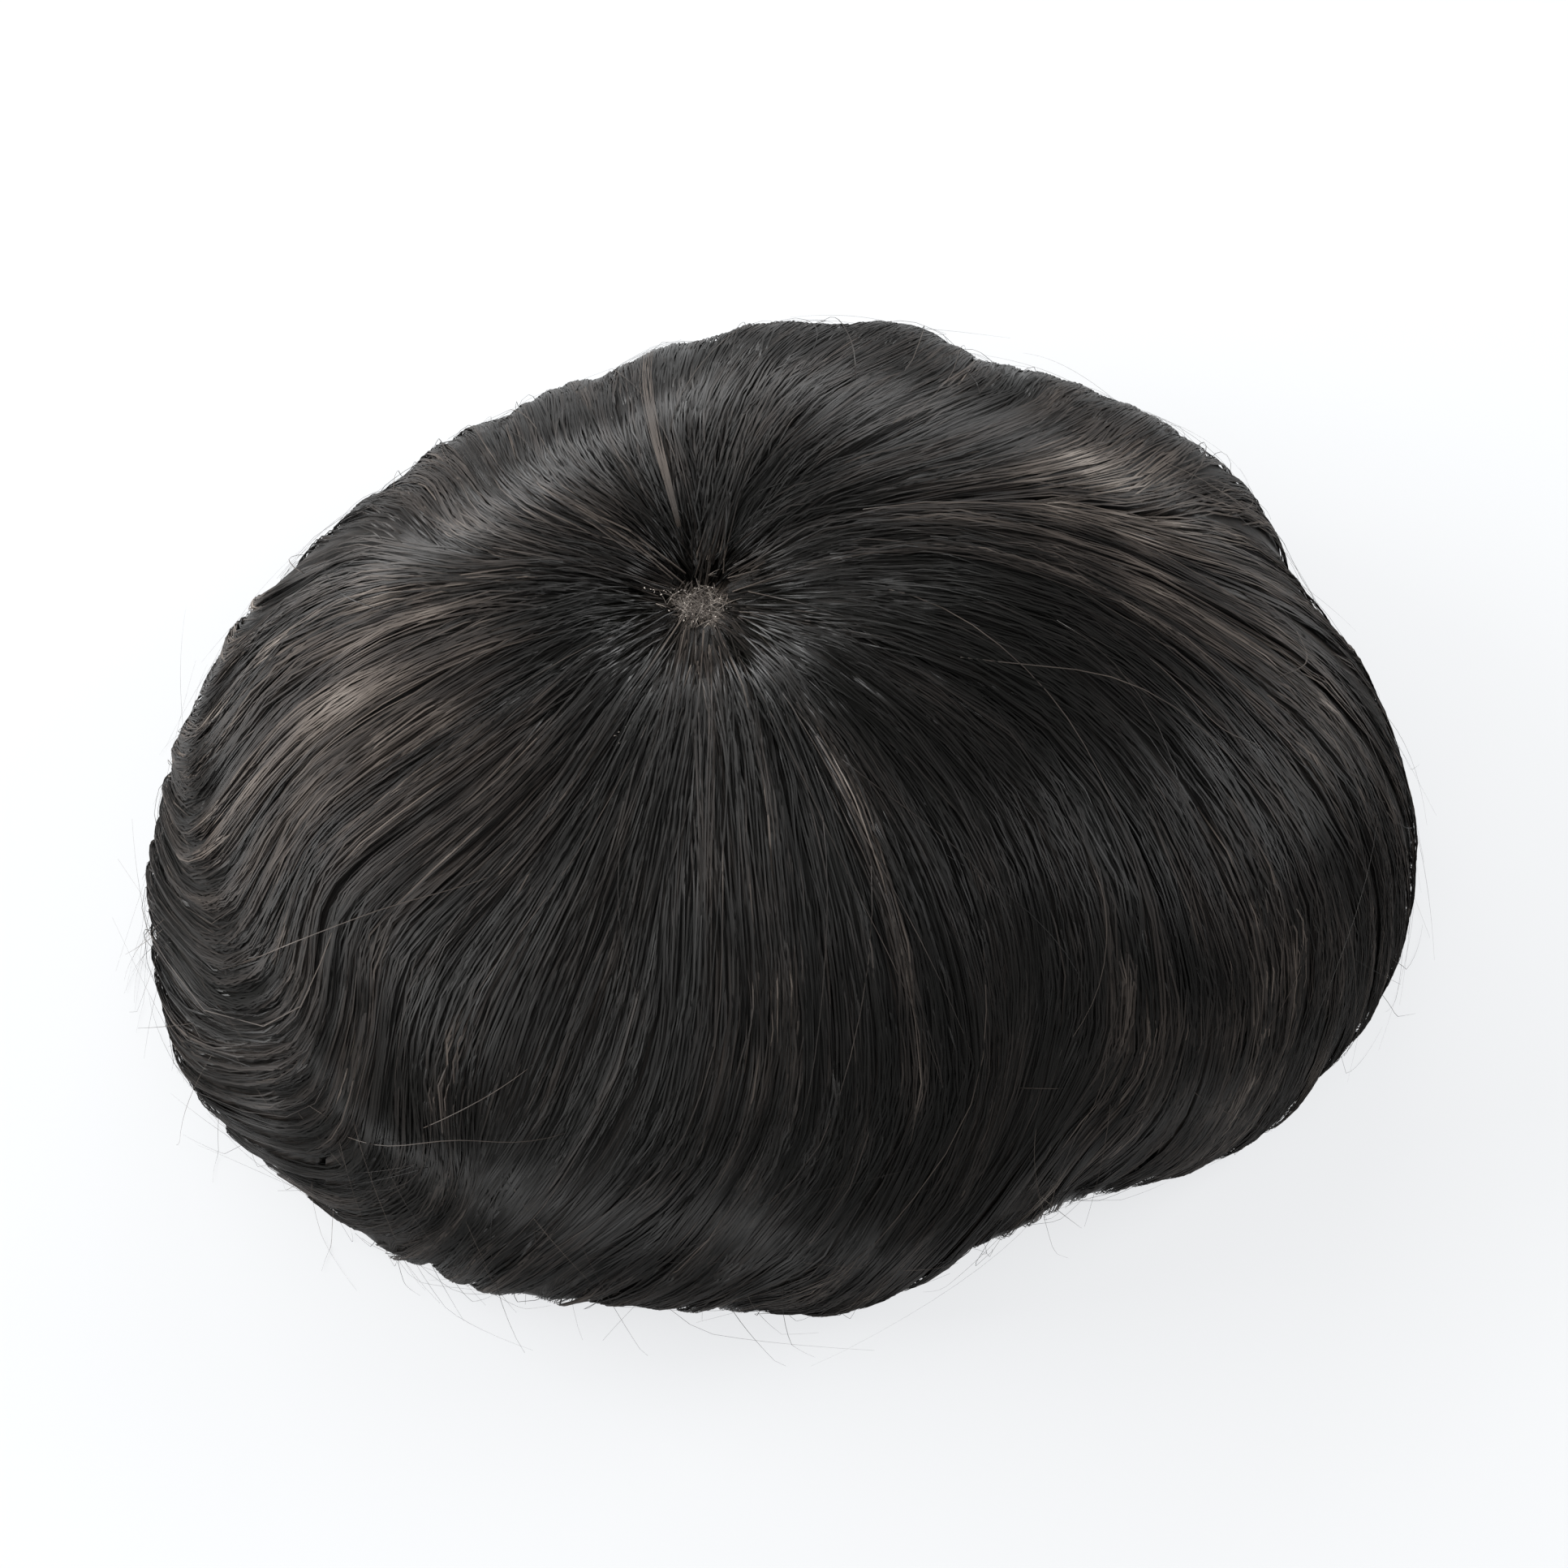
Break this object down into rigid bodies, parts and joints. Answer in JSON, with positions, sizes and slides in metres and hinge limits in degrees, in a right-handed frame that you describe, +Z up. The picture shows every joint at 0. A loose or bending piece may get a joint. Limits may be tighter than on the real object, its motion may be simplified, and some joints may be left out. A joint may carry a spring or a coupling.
{
  "type": "toupee hairpiece",
  "caption": "Domed toupee of straight off-black hair that turns round a crown whorl over a thin base cap, and rests on its rolled hem.",
  "frame": {"origin": "middle of the bounding box, on the surface that the hem rests on", "axes": "+Z up out of the crown, +X towards the front hairline, which is the picture's right, -Y towards the picture's viewer"},
  "size_m": [0.2526, 0.2098, 0.0737],
  "materials": {
    "hair": "off-black human hair with a brown cast, satin along the strands",
    "lace": "fine beige lace in a thin clear skin, matt"
  },
  "bodies": {
    "root": {"base_cap": "lace", "back_right_tuft": "hair", "back_hair": "hair", "back_left_hair": "hair", "left_side_wave": "hair", "front_left_sweep": "hair", "front_right_sweep": "hair", "right_side_hair": "hair"}
  },
  "joints": []
}
